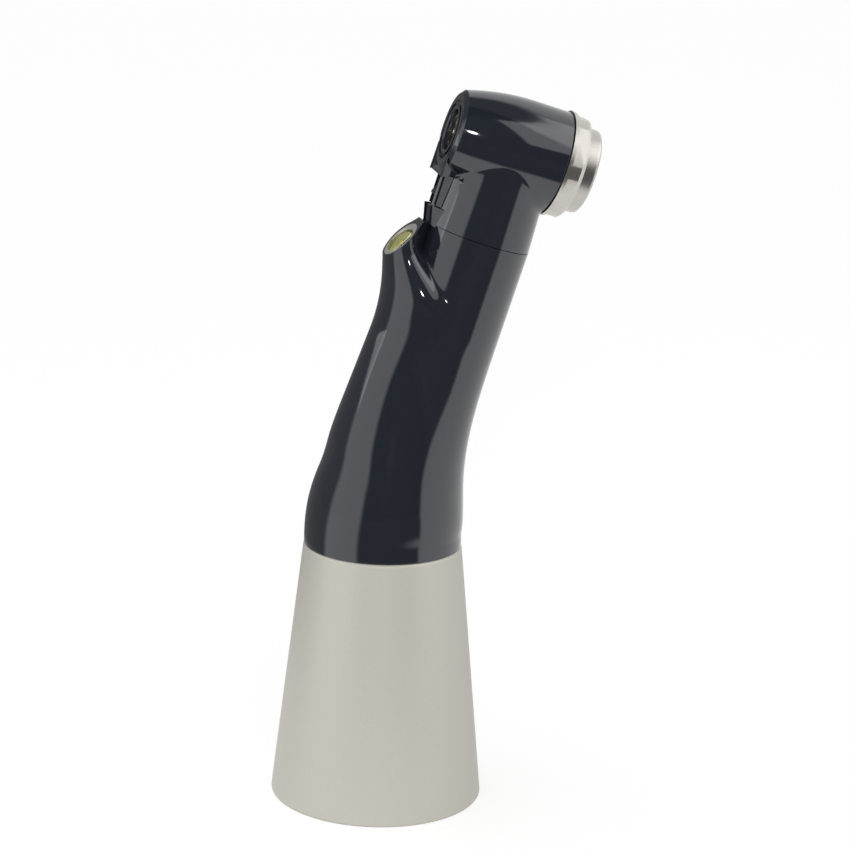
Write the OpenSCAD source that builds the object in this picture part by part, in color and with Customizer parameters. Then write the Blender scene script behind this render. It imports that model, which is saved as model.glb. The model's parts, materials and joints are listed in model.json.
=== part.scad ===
// Contra-angle dental prophy head on its own base: steel base cone, bent black body with a
// light pod, black head with a push-button chuck, and the 4:1 gear train inside.
// Z is the axis of the base, the origin is the centre of its bottom rim, and the neck leans
// towards +X. All sizes are in millimetres.

/* [Bend] */
// Lean of the neck from the base axis, degrees
lean = 17; // [12:0.5:22]
// Height at which the neck axis leaves the base axis
bend_z = 27; // [24:0.5:30]
// Bend to the joint between body and head, along the neck
joint_s = 27.2; // [24:0.2:30]
// Bend to the centre of the head, along the neck
head_s = 36; // [34:0.2:38]

/* [Base] */
// Diameter of the bottom rim
base_d = 20; // [18:0.5:22]
// Diameter of the steel cone at its top
base_top_d = 14.66; // [14:0.1:16]
// Height of the steel cone
base_h = 24.5; // [23:0.5:26]
// Rounded bottom edge of the steel cone
base_edge = 0.7; // [0.2:0.1:1]
// Bore that takes the nose of the motor
socket_d = 13; // [11:0.5:13.5]
// Depth of that bore
socket_depth = 14; // [12:0.5:15]
// Wall of the coupling tube
tube_wall = 0.9; // [0.7:0.1:1.1]
// Diameter of the body spigot inside the cone
spigot_d = 12.6; // [12:0.1:13]
// Thickness of the contact insulator
insulator_t = 0.9; // [0.6:0.1:1.2]

/* [Body] */
// Diameter of the neck at the joint
neck_d = 9.6; // [9.2:0.1:10]
// Diameter of the neck where it runs into the head
neck_top_d = 8.8; // [8.2:0.1:9]
// Depth of the oval light pod, front to back
pod_d = 3.3; // [3:0.1:3.6]
// Width of the oval light pod
pod_w = 5.6; // [5:0.1:6]
// Distance of the pod axis from the base axis
pod_x = 0.92; // [0.6:0.02:1.2]
// Height of the middle of the window
window_z = 53.2; // [52:0.1:54]
// Slope of the window, degrees
window_tilt = 43; // [35:1:47]
// Half width of the hump that carries the pod
hump_r = 4.5; // [4:0.1:4.7]

/* [Head] */
// Front face of the barrel from the neck axis
head_front = 5.7; // [5.4:0.1:6.2]
// Back of the barrel from the neck axis, where the cap begins
head_back = 4.5; // [4.2:0.1:4.8]
// Diameter of the barrel at the back
head_d = 9.5; // [9.2:0.1:10]
// Diameter of the barrel at the front
head_front_d = 7.4; // [7:0.1:8]
// Hole in the front face
mouth_d = 3.8; // [3.6:0.1:4.2]
// Width of the flat chin under the front face
chin_w = 5.2; // [4.4:0.1:5.6]
// Chin from the head axis to its lower edge
chin_h = 4.1; // [3.8:0.1:4.3]
// Diameter of the cap across its rim
cap_d = 9.8; // [9.4:0.1:10.2]
// Height of the cap outside the barrel
cap_h = 1.7; // [1.5:0.1:2]
// Share of the cap radius left at its wrench flats
cap_flat = 0.928; // [0.91:0.002:0.96]
// Diameter of the push button
button_d = 7.8; // [7.2:0.1:8]
// How far the button stands out of the cap
button_out = 1.4; // [0.9:0.1:1.6]
// Stroke of the button
button_stroke = 0.8; // [0.5:0.1:0.8]

/* [Chuck] */
// Bore that takes the shank
shank_d = 2.36; // [2.35:0.01:2.38]
// Outside diameter of the spindle
spindle_d = 3.4; // [3.3:0.05:3.5]
// Share of the stroke that reaches the release pin
release_share = 0.6; // [0.5:0.05:0.7]

/* [Gears] */
// Teeth on each pinion
pinion_teeth = 10; // [8:1:12]
// Teeth on each gear
gear_teeth = 20; // [16:1:24]
// Module of the pair in the head
head_module = 0.3; // [0.28:0.01:0.32]
// Module of the pair at the bend
bend_module = 0.25; // [0.23:0.01:0.26]
// Face width of the pair in the head
head_face = 1; // [0.8:0.1:1.1]
// Face width of the pair at the bend
bend_face = 2; // [1.5:0.1:2.4]

/* [Bearings] */
// Outside diameter of the head bearings
head_brg_od = 6.2; // [6:0.1:6.4]
// Width of the head bearings
head_brg_w = 1.8; // [1.5:0.1:2]
// Outside diameter of the shaft bearings
brg_od = 6; // [5.8:0.1:6.2]
// Diameter of both shafts
shaft_d = 2; // [1.8:0.1:2.2]
// Width of the shaft bearings
brg_w = 1.6; // [1.4:0.1:1.8]
// Balls in each bearing
balls = 7; // [6:1:8]

/* [Drive] */
// Diameter of the drive dog
dog_d = 4.4; // [4:0.1:4.8]
// Stroke of the drive dog
dog_stroke = 0.8; // [0.5:0.1:0.9]

/* [Fits] */
// Gap between pieces fixed to each other
fit = 0.02; // [0.01:0.01:0.04]
// Gap round pieces that turn or slide
run = 0.05; // [0.03:0.01:0.08]
// Free room round gears and moving ends
room = 0.3; // [0.2:0.05:0.4]

/* [Hidden] */
$fn = 64;

eps = 0.01;
cut = 0.5;

// Head, measured along its axis: minus is the working end, plus the button
front_wall = 0.9;
shield_t = 0.3;
front_seat = -head_front + front_wall;
front_brg = front_seat + shield_t + fit;
mouth_r = mouth_d / 2;
spindle_r = spindle_d / 2;
spindle_bore = spindle_r - 0.28;
head_brg_r = head_brg_od / 2;
cap_end = head_back + cap_h;
rear_brg = head_back - 0.1 - head_brg_w;
cap_web = head_back + 0.1;
skirt_r = head_d / 2 - 0.77;
chamber_r = head_brg_r + room;
button_r = button_d / 2;
button_end = cap_end + button_out;
lip_t = 0.3;
flange_t = 0.25;
web_t = 0.15;
flange_r = button_r + 0.3;
flange_a = cap_end - lip_t - flange_t - 0.03;
pusher_a = cap_web + button_stroke - 0.2;
spindle_end = head_back - 0.3;
spindle_front = -head_front + 0.35;
pin_top = pusher_a - 0.35;
pin_head_a = 1.9;
collet_end = pin_head_a - button_stroke * release_share - 0.07;
collet_front = spindle_front + 0.35;

// Neck, measured along it from the bend
neck_r = neck_d / 2;
brg_r = brg_od / 2;
shaft_r = shaft_d / 2;
tip_r = shaft_r * 0.6;
spigot_top_r = brg_r + 0.7;
spigot_top = 2;
neck_rear_s = 14;
neck_front_s = joint_s + spigot_top + 0.4;
neck_bottom_s = 10;

// Base, measured along Z
socket_r = socket_d / 2;
tube_r = socket_r + tube_wall;
insulator_z = socket_depth + 1;
shoulder_z = insulator_z + insulator_t + fit;
rear_lower_z = shoulder_z + 4.6;
nut_t = 1;
nut_z = rear_lower_z - nut_t - fit;
nut_r = brg_r + 0.4;
dog_z = insulator_z + 0.15;
dog_floor = 0.9;
dog_top = nut_z - dog_stroke - 0.1;
dog_pin_z = dog_top - 0.8;
dog_pin_r = 0.35;
contact_in = dog_d / 2 + 1.7;
contact_out = contact_in + 1.1;
contact_t = insulator_t / 3;

// Gear cones: shaft angle, teeth and mating teeth give the pitch cone angle
function cone_angle(shaft, teeth, mate) = atan(sin(shaft) / (mate / teeth + cos(shaft)));
function cone_length(module_mm, teeth, angle) = module_mm * teeth / (2 * sin(angle));
head_pinion_cone = cone_angle(90, pinion_teeth, gear_teeth);
head_gear_cone = cone_angle(90, gear_teeth, pinion_teeth);
head_cone = cone_length(head_module, gear_teeth, head_gear_cone);
bend_pinion_cone = cone_angle(lean, pinion_teeth, gear_teeth);
bend_gear_cone = cone_angle(lean, gear_teeth, pinion_teeth);
bend_cone = cone_length(bend_module, gear_teeth, bend_gear_cone);
addendum = 0.85;
dedendum = 1.2;
tooth_share = 0.8;
pressure = 22;
rear_tip_z = bend_z + bend_cone * cos(bend_pinion_cone) + 0.3;
rear_step_z = bend_z + (bend_cone - bend_face) * cos(bend_pinion_cone) - 1.6;
rear_upper_z = rear_step_z - 1.8 - brg_w;
function gear_back(module_mm, cone, angle) = cone * cos(angle - atan(dedendum * module_mm / cone));
pinion_hub = 0.3;
pinion_s = head_s - gear_back(head_module, head_cone, head_pinion_cone) - pinion_hub - fit;
gear_top_s = bend_cone * cos(bend_gear_cone);

// Light pod and its two leads
lead_y = 1.2;
lead_r = 0.22;
pod_z = bend_z + 17;
pod_wall = 0.1;
bezel_d = pod_d - 2 * pod_wall;
bezel_w = pod_w - 2 * pod_wall;
bezel_t = 0.3;
lens_d = bezel_d - 2 * bezel_t - 2 * fit;
lens_w = bezel_w - 2 * bezel_t - 2 * fit;
lens_in = 0.05;
lens_t = 0.7;
chip_w = 1.7;
chip_t = 0.5;
chip_in = lens_in + lens_t + 0.05 + chip_t;
board_t = 0.4;
board_in = chip_in + fit / 2;
bezel_z = window_z - 4.1;
bezel_h = window_z - bezel_z + pod_d / 2 + 0.75;
lead_x = 0.6;
lead_end = window_z - (board_in + board_t + fit) / cos(window_tilt) - (lead_x + lead_r) * tan(window_tilt);

// Places a child on the neck axis, at a distance from the bend
module on_neck(s) {
  translate([0, 0, bend_z]) rotate([0, lean, 0]) translate([0, 0, s]) children();
}

// Places a child on the head axis, its +Z towards the button and its +X down the neck
module on_head(a = 0) {
  on_neck(head_s) rotate([0, 90, 0]) translate([0, 0, a]) children();
}

module tube(h, outer, inner) {
  difference() {
    cylinder(h = h, r = outer);
    translate([0, 0, -cut]) cylinder(h = h + 2 * cut, r = inner);
  }
}

// Oval post on the pod axis: depth d, width w
module pod_post(z, h, d, w) {
  translate([pod_x, 0, z]) linear_extrude(h) scale([d / w, 1]) circle(d = w);
}

// Ball bearing, its width along +Z
function pitch_r(inner, outer) = (inner + outer) / 2;
function ball_r(inner, outer) = (outer - inner) * 0.27;

module ring_outer(inner, outer, w) {
  rotate_extrude() difference() {
    translate([pitch_r(inner, outer) + ball_r(inner, outer) * 0.5, 0])
      square([(outer - inner) / 2 - ball_r(inner, outer) * 0.5, w]);
    translate([pitch_r(inner, outer), w / 2]) circle(r = ball_r(inner, outer) + run);
  }
}

module ring_inner(inner, outer, w) {
  rotate_extrude() difference() {
    translate([inner, 0])
      square([(outer - inner) / 2 - ball_r(inner, outer) * 0.5, w]);
    translate([pitch_r(inner, outer), w / 2]) circle(r = ball_r(inner, outer) + run);
  }
}

module ring_balls(inner, outer, w) {
  for (i = [0:balls - 1])
    rotate([0, 0, 360 * i / balls])
      translate([pitch_r(inner, outer), 0, w / 2]) sphere(r = ball_r(inner, outer));
}

// Point on a sphere round the apex of a gear cone
function cone_point(dist, angle, turn) =
  dist * [sin(angle) * cos(turn), sin(angle) * sin(turn), cos(angle)];

// One straight bevel tooth; every edge runs to the apex at the origin
module bevel_tooth(module_mm, cone, angle, face) {
  root = angle - atan((dedendum + 0.25) * module_mm / cone);
  tip = angle + atan(addendum * module_mm / cone);
  half = PI * module_mm / 4 * tooth_share;
  root_turn = (half + (dedendum + 0.25) * module_mm * tan(pressure)) / (cone * sin(root)) * 180 / PI;
  tip_turn = (half - addendum * module_mm * tan(pressure)) / (cone * sin(tip)) * 180 / PI;
  near = cone - face;
  polyhedron(
    points = [
      cone_point(near, root, -root_turn), cone_point(near, root, root_turn),
      cone_point(near, tip, tip_turn), cone_point(near, tip, -tip_turn),
      cone_point(cone, root, -root_turn), cone_point(cone, root, root_turn),
      cone_point(cone, tip, tip_turn), cone_point(cone, tip, -tip_turn)
    ],
    faces = [
      [0, 2, 1], [0, 3, 2], [4, 5, 6], [4, 6, 7], [0, 1, 5], [0, 5, 4],
      [1, 6, 5], [1, 2, 6], [2, 7, 6], [2, 3, 7], [3, 4, 7], [3, 0, 4]
    ]
  );
}

// Bevel gear on +Z with its apex at the origin; offset turns it by a share of one tooth
module bevel_gear(module_mm, cone, angle, face, teeth, bore, hub, offset) {
  root = angle - atan(dedendum * module_mm / cone);
  near = cone - face;
  difference() {
    union() {
      rotate_extrude() polygon([
        [0, near * cos(root)], [near * sin(root), near * cos(root)],
        [cone * sin(root), cone * cos(root)], [cone * sin(root), cone * cos(root) + hub],
        [0, cone * cos(root) + hub]
      ]);
      for (i = [0:teeth - 1])
        rotate([0, 0, 360 * (i + offset) / teeth]) bevel_tooth(module_mm, cone, angle, face);
    }
    cylinder(h = 2 * cone, r = bore + fit);
  }
}

// Tube of radius r along a path of points, with flat ends square to the path
function unit(v) = v / norm(v);
function path_dir(path, i) =
  unit(path[min(i + 1, len(path) - 1)] - path[max(i - 1, 0)]);
function path_side(d) = unit(cross(d, abs(d[1]) < 0.9 ? [0, 1, 0] : [1, 0, 0]));
function path_ring(path, i, r, sides) =
  let (d = path_dir(path, i), u = path_side(d), v = cross(d, u))
  [for (k = [0:sides - 1])
    path[i] + r * (cos(360 * k / sides) * u + sin(360 * k / sides) * v)];

module sweep(path, r, sides) {
  n = len(path);
  polyhedron(
    points = [for (i = [0:n - 1]) each path_ring(path, i, r, sides)],
    faces = concat(
      [[for (k = [0:sides - 1]) k]],
      [for (i = [0:n - 2]) for (k = [0:sides - 1]) each
        let (a = i * sides + k, b = i * sides + (k + 1) % sides)
        [[a, b + sides, b], [a, a + sides, b + sides]]],
      [[for (k = [sides - 1:-1:0]) (n - 1) * sides + k]]
    )
  );
}

// Coil along +Z from z = 0 to the given height, wire and ends included
function coil_path(r, wire, height, turns, steps) =
  [for (i = [0:turns * steps])
    [r * cos(360 * i / steps), r * sin(360 * i / steps),
      wire / 2 + (height - wire) * i / (turns * steps)]];

// Outside of the body: a main circle on the axis and an oval hump beside it, blended.
// Stations run up the axis from the top of the steel cone to the joint.
stations = 26;
sides = 40;
joint_z = bend_z + joint_s * cos(lean);
bend_len = 2 * (bend_z - base_h);
base_top_r = base_top_d / 2;
function smooth(x) = let (c = max(0, min(1, x))) c * c * (3 - 2 * c);
function mix(a, b, t) = a + (b - a) * t;
function soft_min(a, b, k) =
  let (h = max(k - abs(a - b), 0) / k) min(a, b) - h * h * k / 4;
function bend_u(z) = (z - base_h) / bend_len;
function axis_x(z) = bend_u(z) < 1
  ? tan(lean) * bend_len * (pow(bend_u(z), 3) - pow(bend_u(z), 4) / 2)
  : tan(lean) * (z - bend_z);
function axis_lean(z) = atan(tan(lean) * smooth(bend_u(z)));
function neck_s(z) = (z - bend_z) / cos(lean);

// Main circle: wide at the cone, then slender up the neck
flare_h = 8.7;
flare_power = 2.2;
function main_r(z) = mix(neck_r, base_top_r, exp(-pow((z - base_h) / flare_h, flare_power)));

// Hump: its reach to the working side, its half width, its half depth and its centre. It
// draws in to the light pod, and sinks into the neck behind it.
back_s = 6;
back_slope = 0.05;
waist_s = 3.2;
waist_len = 3;
waist = 0.46;
sink_s = 22;
sink_len = 4.5;
sink = 1.9;
shoulder_s = 20.5;
function reach(z) = base_top_r - back_slope * max(0, neck_s(z) - back_s)
  - waist * exp(-pow((neck_s(z) - waist_s) / waist_len, 2))
  - sink * smooth((neck_s(z) - sink_s) / sink_len);
function hump(z) = mix(base_top_r - 0.2, hump_r, smooth((neck_s(z) + 2.6) / 18));
function side_y(z) = mix(hump(z), pod_w / 2, smooth((neck_s(z) - shoulder_s) / 4.5));
function side_x(z) = mix(hump(z), pod_d / 2 / cos(lean), smooth((neck_s(z) - shoulder_s) / 5));
function side_c(z) = reach(z) - side_x(z);
function blend(z) = 0.05 + 1.6 * smooth(bend_u(z));

// Distance from an oval, near its edge
function oval_gap(x, y, a, b) =
  let (k = norm([x / a, y / b])) k * (k - 1) / norm([x / a / a, y / b / b]);

// Rays start between the two centres, so that both outlines are met squarely
function ray_start(z) = min(main_r(z) * 0.75, side_c(z) * 0.6);
function skin(d, turn, z) =
  let (x = d * cos(turn) - ray_start(z), y = d * sin(turn))
  soft_min(norm([x, y]) - main_r(z), oval_gap(x + side_c(z), y, side_x(z), side_y(z)), blend(z));
function find_skin(low, high, turn, z, n) =
  n == 0 ? (low + high) / 2
  : let (m = (low + high) / 2)
    skin(m, turn, z) < 0 ? find_skin(m, high, turn, z, n - 1) : find_skin(low, m, turn, z, n - 1);
function skin_point(z, k) =
  let (turn = 360 * k / sides, d = find_skin(0.5, 12, turn, z, 20),
    x = d * cos(turn) - ray_start(z), b = axis_lean(z))
  [axis_x(z) + x * cos(b), d * sin(turn), z - x * sin(b)];

module body_skin() {
  polyhedron(
    points = [for (i = [0:stations]) for (k = [0:sides - 1])
      skin_point(mix(base_h, joint_z, i / stations), k)],
    faces = concat(
      [[for (k = [0:sides - 1]) k]],
      [for (i = [0:stations - 1]) for (k = [0:sides - 1]) each
        let (a = i * sides + k, b = i * sides + (k + 1) % sides)
        [[a, b + sides, b], [a, a + sides, b + sides]]],
      [[for (k = [sides - 1:-1:0]) stations * sides + k]]
    )
  );
}

// Places a child under the sloped plane of the window
module under_window(depth) {
  translate([pod_x, 0, window_z]) rotate([0, -window_tilt, 0]) translate([0, 0, -depth]) children();
}

// Block over the window
module above_window() {
  under_window(0) translate([-6, -4, 0]) cube([12, 8, 12]);
}

// Oval plate that fills the bezel, from a depth under the window
module window_plate(depth, t) {
  intersection() {
    pod_post(bezel_z, bezel_h + 3 * cut, lens_d, lens_w);
    under_window(depth + t) translate([-6, -4, 0]) cube([12, 8, t]);
  }
}

// Paths of the two light leads and of the water tube
function lead_path(y) = [
  [-4.4, y, shoulder_z - insulator_t / 2], [-4.4, y, bend_z], [-3.4, y, bend_z + 7],
  [-2.35, y, bend_z + 13.5], [-0.7, y * 0.8, bend_z + 17.5], [pod_x - lead_x, y * 0.6, lead_end - 2],
  [pod_x - lead_x, y * 0.6, lead_end]
];
function neck_point(left, y, s) =
  [s * sin(lean) - left * cos(lean), y, bend_z + s * cos(lean) + left * sin(lean)];
pipe_r = 0.4;
pipe_y = contact_out + pipe_r + 0.1;
pipe_path = [
  [0, pipe_y, insulator_z + 0.1], [0, pipe_y, bend_z - 4], [0.4, 4.7, bend_z + 2],
  neck_point(1.6, 3.9, 12), neck_point(2.7, 2.9, 18), neck_point(2.9, 2.6, joint_s - 1),
  neck_point(3.2, 2.2, joint_s + 1), neck_point(3.5, 1.7, joint_s + 2.2)
];
nozzle_s = joint_s + 3.2;
nozzle_tilt = 62;
nozzle_r = 0.55;
nozzle_h = 1.35;
jet_r = 0.18;

module lead_channels(r) {
  sweep(lead_path(lead_y), r, 8);
  sweep(lead_path(-lead_y), r, 8);
}

module at_nozzle() {
  on_neck(nozzle_s) translate([-4.95, 0, 0]) rotate([0, -nozzle_tilt, 0]) children();
}

// Base
module base_sleeve() color("#8d8a86") {
  low_r = base_d / 2;
  top_r = base_top_d / 2;
  slope = (low_r - top_r) / base_h;
  rotate_extrude($fn = 96) polygon([
    [tube_r + fit, 0], [low_r - base_edge, 0], [low_r - base_edge * 0.3, base_edge * 0.3],
    [low_r - slope * base_edge, base_edge], [top_r, base_h],
    [spigot_d / 2 + fit, base_h], [spigot_d / 2 + fit, shoulder_z - insulator_t],
    [tube_r + fit, shoulder_z - insulator_t]
  ]);
}

module coupling_tube() color("#b9b4aa") {
  groove_z = socket_depth * 0.8;
  difference() {
    tube(insulator_z - fit, tube_r, socket_r);
    translate([0, 0, groove_z]) cylinder(h = 1.2, r = socket_r + 0.5);
    translate([socket_r - 1, -0.6, socket_depth - 1.2]) cube([2, 1.2, 4]);
  }
}

module latch_ring() color("#c9c7c2") {
  groove_z = socket_depth * 0.8;
  translate([0, 0, groove_z + 0.1]) rotate([0, 0, 20])
    rotate_extrude(angle = 320) translate([socket_r + fit, 0]) square([0.45, 1]);
}

module locating_pin() color("#c9c7c2") {
  pin_r = 0.45;
  translate([socket_r + pin_r - 0.2, 0, socket_depth - 1]) cylinder(h = 1.9, r = pin_r, $fn = 32);
}

module contact_insulator() color("#e2dccb") {
  difference() {
    translate([0, 0, insulator_z]) tube(insulator_t, spigot_d / 2, dog_d / 2 + room);
    translate([0, 0, insulator_z - eps]) tube(contact_t + fit + eps, contact_out, contact_in);
    lead_channels(lead_r + fit);
    sweep(pipe_path, pipe_r + fit, 8);
  }
}

module contact_ring() color("#c99a3b") {
  translate([0, 0, insulator_z]) tube(contact_t, contact_out - fit, contact_in + fit);
}

// Body
module body_shell() color("#15161a") {
  difference() {
    union() {
      body_skin();
      difference() {
        pod_post(pod_z, window_z + 3 - pod_z, pod_d, pod_w);
        above_window();
      }
      translate([0, 0, shoulder_z]) cylinder(h = base_h - shoulder_z + eps, r = spigot_d / 2);
      on_neck(joint_s - eps) cylinder(h = spigot_top, r = spigot_top_r);
    }
    translate([0, 0, shoulder_z - cut])
      cylinder(h = rear_upper_z + brg_w - shoulder_z + cut, r = brg_r + fit);
    translate([0, 0, shoulder_z - cut]) cylinder(h = rear_lower_z - shoulder_z + cut, r = nut_r + fit);
    translate([0, 0, rear_upper_z]) cylinder(h = rear_step_z - rear_upper_z + cut, r = shaft_r + room);
    translate([0, 0, rear_step_z]) cylinder(h = rear_tip_z + room - rear_step_z, r = 1.85);
    on_neck(neck_bottom_s - room) cylinder(h = joint_s + 2 * spigot_top, r = brg_r + fit);
    pod_post(bezel_z - fit, 12, bezel_d + 2 * fit, bezel_w + 2 * fit);
    lead_channels(lead_r + fit);
    sweep(pipe_path, pipe_r + fit, 8);
  }
}

// Head
function barrel_r(a) =
  a > 1 ? head_d / 2
  : head_d / 2 - (head_d - head_front_d) / 2 * pow((1 - a) / (1 + head_front), 2);

module head_housing() color("#15161a") {
  steps = 14;
  rim = 0.35;
  difference() {
    union() {
      on_head() rotate_extrude($fn = 96) polygon(concat(
        [[0, -head_front], [barrel_r(-head_front) - rim, -head_front]],
        [for (i = [0:steps])
          let (a = mix(-head_front + rim, 1, i / steps)) [barrel_r(a), a]],
        [[head_d / 2, head_back], [0, head_back]]
      ));
      on_neck(joint_s + 0.06) cylinder(h = head_s - joint_s - 0.5, r1 = neck_r, r2 = neck_top_d / 2);
      on_head(-head_front) translate([0, -chin_w / 2, 0]) cube([chin_h, chin_w, 2.5]);
      on_neck(joint_s + 0.06) translate([-5.3, -1.5, 0]) cube([4, 3, 1.9]);
      on_neck(joint_s + 0.06) translate([-4.95, -1.2, 0]) cube([4, 2.4, 4.6]);
    }
    on_head(-head_front - cut) cylinder(h = head_front, r = mouth_r);
    on_head(-head_front - cut) tube(cut + 0.3, mouth_r + 0.85, mouth_r + 0.4);
    on_head(front_seat) cylinder(h = head_front, r = head_brg_r + fit);
    on_head(-2.3) cylinder(h = 6, r = chamber_r);
    on_head(rear_brg - 0.1) cylinder(h = 6, r = skirt_r + fit);
    on_head(head_back) cylinder(h = 4, r = cap_d / 2 + 0.12);
    on_neck(joint_s - cut) cylinder(h = head_s - joint_s, r = brg_r + fit);
    on_neck(joint_s - cut) cylinder(h = spigot_top + cut + 0.1, r = spigot_top_r + fit);
    sweep(pipe_path, pipe_r + fit, 8);
    at_nozzle() translate([0, 0, -1.1]) cylinder(h = 4, r = nozzle_r + fit, $fn = 32);
  }
}

module head_cap() color("#b7b5b1") {
  flat_z = head_back + 0.35;
  difference() {
    on_head() rotate_extrude($fn = 96) polygon([
      [head_brg_r + fit, rear_brg], [skirt_r, rear_brg], [skirt_r, head_back + fit],
      [cap_d / 2, head_back + fit], [cap_d / 2, cap_end - 0.4], [cap_d / 2 - 0.35, cap_end],
      [flange_r + run, cap_end], [flange_r + run, cap_web + web_t], [2.2, cap_web + web_t],
      [2.2, cap_web], [head_brg_r + fit, cap_web]
    ]);
    for (i = [0:5])
      on_head(flat_z) rotate([0, 0, 60 * i]) translate([cap_d / 2 * cap_flat, -4, 0]) cube([4, 8, 4]);
  }
}

module button_ring() color("#a9a7a3") {
  on_head(cap_end - lip_t) tube(lip_t - 0.05, flange_r + run - fit, button_r + run);
}

module push_button() color("#c4c2be") {
  wall = 0.5;
  on_head() rotate_extrude($fn = 96) polygon([
    [0, pusher_a], [1.2, pusher_a], [1.2, button_end - 0.6], [button_r - wall - 0.2, button_end - 0.6],
    [button_r - wall, button_end - 0.8], [button_r - wall, flange_a], [flange_r, flange_a],
    [flange_r, flange_a + flange_t], [button_r, flange_a + flange_t], [button_r, button_end - 0.3],
    [button_r - 0.1, button_end - 0.1], [button_r - 0.3, button_end], [0, button_end]
  ]);
}

module button_spring() color("#d0cec8") {
  wire = 0.3;
  low = cap_web + web_t + fit;
  high = button_end - 0.62;
  on_head(low) sweep(coil_path(2.55, wire, high - low, 3, 8), wire / 2, 6);
}

module spindle() color("#c2c0bc") {
  collar = spindle_r + 0.3;
  on_head() rotate_extrude() polygon([
    [spindle_bore, spindle_front], [spindle_r - 0.12, spindle_front], [spindle_r, spindle_front + 0.12],
    [spindle_r, front_brg + head_brg_w + fit], [collar, front_brg + head_brg_w + fit],
    [collar, front_brg + head_brg_w + 0.5], [spindle_r, front_brg + head_brg_w + 0.5],
    [spindle_r, spindle_end], [0.95, spindle_end], [0.95, spindle_end - 0.7],
    [spindle_bore, spindle_end - 0.7]
  ]);
}

module head_gear() color("#b58a3c") {
  on_head() bevel_gear(head_module, head_cone, head_gear_cone, head_face, gear_teeth, spindle_r, 0.45, 0.5);
}

module collet() color("#9a9894") {
  difference() {
    on_head(collet_front) tube(collet_end - collet_front, spindle_bore - fit, shank_d / 2);
    for (i = [0:2])
      on_head(collet_front - cut) rotate([0, 0, 120 * i + 60]) translate([0, -0.15, 0])
        cube([2, 0.3, cut + (collet_end - collet_front) * 0.7]);
  }
}

module release_pin() color("#c2c0bc") {
  on_head(pin_head_a) cylinder(h = 0.7, r = spindle_bore - run);
  on_head(pin_head_a) cylinder(h = pin_top - pin_head_a, r = 0.95 - run);
}

module front_shield() color("#3a3a3c") {
  on_head(front_seat + fit / 2) tube(shield_t, head_brg_r, spindle_r + 0.15);
}

module head_front_outer() color("#bdbbb7") {
  on_head(front_brg) ring_outer(spindle_r + fit, head_brg_r, head_brg_w);
}

module head_front_inner() color("#bdbbb7") {
  on_head(front_brg) ring_inner(spindle_r + fit, head_brg_r, head_brg_w);
}

module head_front_balls() color("#e6e5e2") {
  on_head(front_brg) ring_balls(spindle_r + fit, head_brg_r, head_brg_w);
}

module head_rear_outer() color("#bdbbb7") {
  on_head(rear_brg) ring_outer(spindle_r + fit, head_brg_r, head_brg_w);
}

module head_rear_inner() color("#bdbbb7") {
  on_head(rear_brg) ring_inner(spindle_r + fit, head_brg_r, head_brg_w);
}

module head_rear_balls() color("#e6e5e2") {
  on_head(rear_brg) ring_balls(spindle_r + fit, head_brg_r, head_brg_w);
}

// Neck
module neck_shaft() color("#bdbbb7") {
  on_neck(neck_bottom_s) cylinder(h = pinion_s - neck_bottom_s, r = shaft_r);
  on_neck(pinion_s - eps) cylinder(h = 1.3, r = tip_r);
  on_neck(gear_top_s + 0.5) cylinder(h = neck_rear_s - gear_top_s - 0.5 - fit, r = shaft_r + 0.35);
}

module neck_pinion() color("#b58a3c") {
  on_head() rotate([0, 90, 0])
    bevel_gear(head_module, head_cone, head_pinion_cone, head_face, pinion_teeth, tip_r, pinion_hub, 0);
}

module neck_gear() color("#b58a3c") {
  on_neck(0) bevel_gear(bend_module, bend_cone, bend_gear_cone, bend_face, gear_teeth, shaft_r, 0.3, 0.5);
}

module neck_spacer() color("#a7a9ad") {
  low = neck_rear_s + brg_w + fit;
  on_neck(low) tube(neck_front_s - low - fit, brg_r, brg_r - 0.4);
}

module neck_front_outer() color("#bdbbb7") {
  on_neck(neck_front_s) ring_outer(shaft_r + fit, brg_r, brg_w);
}

module neck_front_inner() color("#bdbbb7") {
  on_neck(neck_front_s) ring_inner(shaft_r + fit, brg_r, brg_w);
}

module neck_front_balls() color("#e6e5e2") {
  on_neck(neck_front_s) ring_balls(shaft_r + fit, brg_r, brg_w);
}

module neck_rear_outer() color("#bdbbb7") {
  on_neck(neck_rear_s) ring_outer(shaft_r + fit, brg_r, brg_w);
}

module neck_rear_inner() color("#bdbbb7") {
  on_neck(neck_rear_s) ring_inner(shaft_r + fit, brg_r, brg_w);
}

module neck_rear_balls() color("#e6e5e2") {
  on_neck(neck_rear_s) ring_balls(shaft_r + fit, brg_r, brg_w);
}

// Rear shaft
module rear_shaft() color("#bdbbb7") {
  low = dog_z + dog_floor + dog_stroke + 0.1;
  difference() {
    union() {
      translate([0, 0, low]) cylinder(h = rear_step_z - low, r = shaft_r);
      translate([0, 0, rear_step_z - eps]) cylinder(h = rear_tip_z - rear_step_z, r = tip_r);
      translate([0, 0, rear_lower_z + brg_w + fit])
        cylinder(h = rear_upper_z - rear_lower_z - brg_w - 2 * fit, r = shaft_r + 0.3);
    }
    translate([0, 0, dog_pin_z]) rotate([90, 0, 0])
      cylinder(h = 6, r = dog_pin_r + fit, center = true, $fn = 32);
  }
}

module rear_pinion() color("#b58a3c") {
  translate([0, 0, bend_z])
    bevel_gear(bend_module, bend_cone, bend_pinion_cone, bend_face, pinion_teeth, tip_r, 0.25, 0);
}

module rear_spacer() color("#a7a9ad") {
  low = rear_lower_z + brg_w + fit;
  translate([0, 0, low]) tube(rear_upper_z - low - fit, brg_r, brg_r - 0.4);
}

module retaining_nut() color("#9c9a96") {
  difference() {
    translate([0, 0, nut_z]) tube(nut_t, nut_r, 2);
    translate([-2 * nut_r, -0.4, nut_z - eps]) cube([4 * nut_r, 0.8, nut_t * 0.4]);
  }
}

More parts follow.
